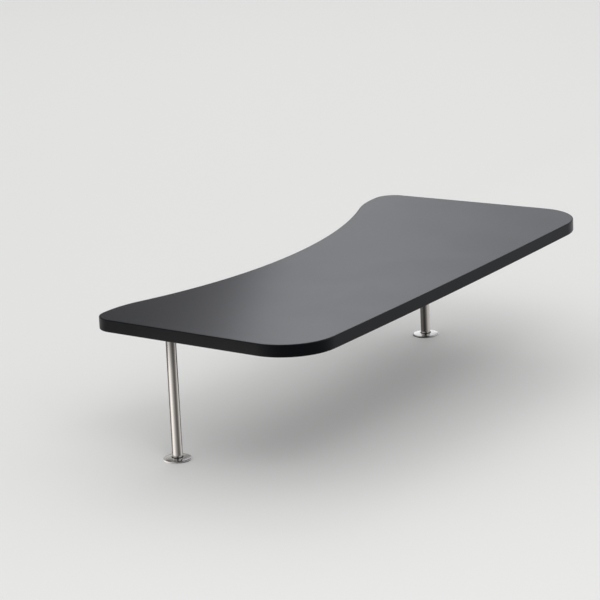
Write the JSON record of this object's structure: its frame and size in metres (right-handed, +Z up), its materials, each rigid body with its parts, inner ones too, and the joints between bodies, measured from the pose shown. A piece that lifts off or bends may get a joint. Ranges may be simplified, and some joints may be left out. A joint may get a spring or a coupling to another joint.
{
  "type": "armchair lap tray",
  "caption": "Dark laminated lap tray with a curved cut-out, on two polished steel posts that drop into flanged sockets in the chair's arms.",
  "frame": {"origin": "midway between the two posts, level with the top of the arms, at the centre of the four arm screws", "axes": "+X from one arm to the other, +Y towards the sitter, +Z up through the tray"},
  "size_m": [0.7708, 0.3489, 0.311],
  "materials": {
    "laminate": "matte anthracite laminate, fine texture",
    "edge_band": "satin near-black edging",
    "chipboard": "raw chipboard",
    "black_plate": "black powder coat",
    "polished_steel": "polished stainless steel",
    "polished_cover": "mirror-polished stainless steel",
    "socket_steel": "zinc plated",
    "zinc_screw": "bright zinc plated",
    "black_screw": "black oxide",
    "black_nylon": "satin moulded nylon",
    "buffer_rubber": "matte"
  },
  "bodies": {
    "arm_sockets": {"left_rosette": "polished_cover", "left_socket_tube": "socket_steel", "left_socket_screws": "zinc_screw", "left_upper_bush": "black_nylon", "left_lower_bush": "black_nylon", "left_socket_buffer": "buffer_rubber", "left_socket_base_plug": "black_nylon", "right_rosette": "polished_cover", "right_socket_tube": "socket_steel", "right_socket_screws": "zinc_screw", "right_upper_bush": "black_nylon", "right_lower_bush": "black_nylon", "right_socket_buffer": "buffer_rubber", "right_socket_base_plug": "black_nylon"},
    "tray": {"core_board": "chipboard", "top_laminate": "laminate", "under_laminate": "laminate", "edge_band": "edge_band", "left_mount_plate": "black_plate", "left_plate_screws": "zinc_screw", "left_grub_screws": "black_screw", "left_post": "polished_steel", "left_post_end_plug": "black_nylon", "right_mount_plate": "black_plate", "right_plate_screws": "zinc_screw", "right_grub_screws": "black_screw", "right_post": "polished_steel", "right_post_end_plug": "black_nylon"}
  },
  "joints": [
    {"name": "tray_lift", "type": "slide", "parent": "arm_sockets", "child": "tray", "axis": [0, 0, 1], "range_m": [0, 0.12]}
  ]
}
